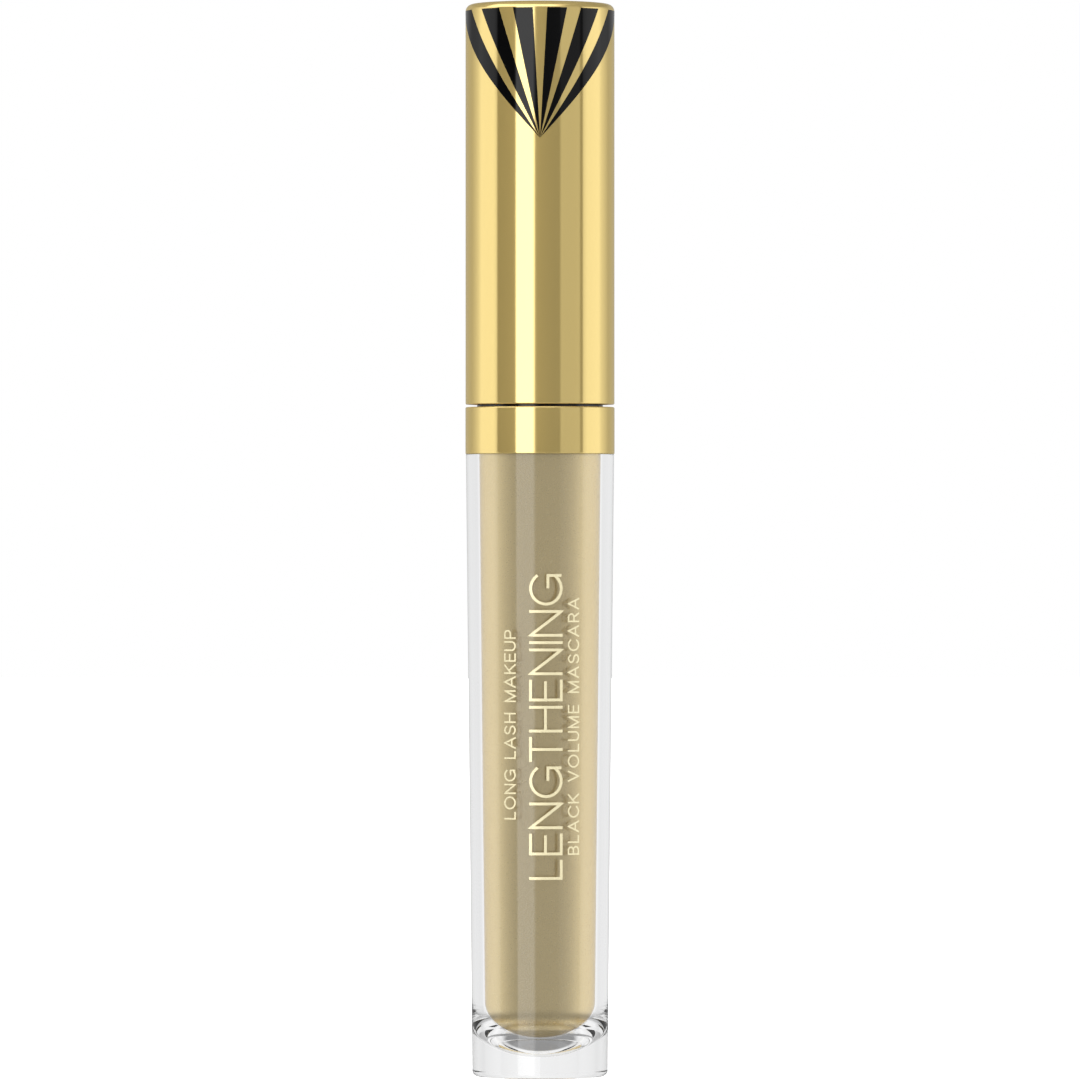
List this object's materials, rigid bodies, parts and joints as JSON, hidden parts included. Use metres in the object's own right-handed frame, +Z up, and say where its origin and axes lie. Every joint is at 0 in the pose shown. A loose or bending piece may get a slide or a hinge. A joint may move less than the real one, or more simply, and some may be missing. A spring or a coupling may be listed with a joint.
{
  "type": "mascara tube",
  "caption": "Slim cylindrical mascara tube: gold vial in a clear tapered shell, gold collar, and a gold screw cap that carries a wand with a moulded brush.",
  "frame": {"origin": "centre of the foot, on the surface that the closed tube stands on", "axes": "+Z up the axis of the tube, from foot to cap; the printed front faces -Y; +X is to the right of the front"},
  "size_m": [0.0174, 0.0174, 0.125],
  "materials": {
    "clear_plastic": "polished clear moulded plastic",
    "mirror_gold": "mirror-bright gold metallised over moulded plastic",
    "satin_gold": "satin pale gold over plastic",
    "gold_foil": "hot-stamped foil print",
    "black_lacquer": "gloss black print",
    "natural_plastic": "natural moulded polypropylene",
    "wiper_plastic": "soft translucent polyethylene",
    "seal_foam": "white foamed gasket",
    "black_plastic": "black moulded plastic",
    "brush_elastomer": "black elastomer",
    "mascara_black": "wet black paste"
  },
  "bodies": {
    "bottle": {"clear_shell": "clear_plastic", "inner_vial": "satin_gold", "collar": "mirror_gold", "wiper": "wiper_plastic", "mascara_paste": "mascara_black"},
    "seal": {"seal_washer": "seal_foam"},
    "wand": {"stem": "black_plastic", "brush_core": "brush_elastomer", "brush_bristles": "brush_elastomer"},
    "cap": {"cap_liner": "natural_plastic", "cap_shell": "mirror_gold"}
  },
  "joints": [
    {"name": "cap_pull", "type": "slide", "parent": "bottle", "child": "seal", "axis": [0, 0, 1], "range_m": [0, 0.095], "deforming": ["brush_bristles"]},
    {"name": "cap_rise", "type": "slide", "parent": "seal", "child": "wand", "axis": [0, 0, 1], "range_m": [0, 0.003]},
    {"name": "cap_turn", "type": "hinge", "parent": "wand", "child": "cap", "pos_m": [0, 0, 0.1], "axis": [0, 0, 1], "range_deg": [0, 540]}
  ],
  "couplings": [
    {"joint": "cap_rise", "follows": "cap_turn", "m_per_rad": 0.00031831}
  ]
}
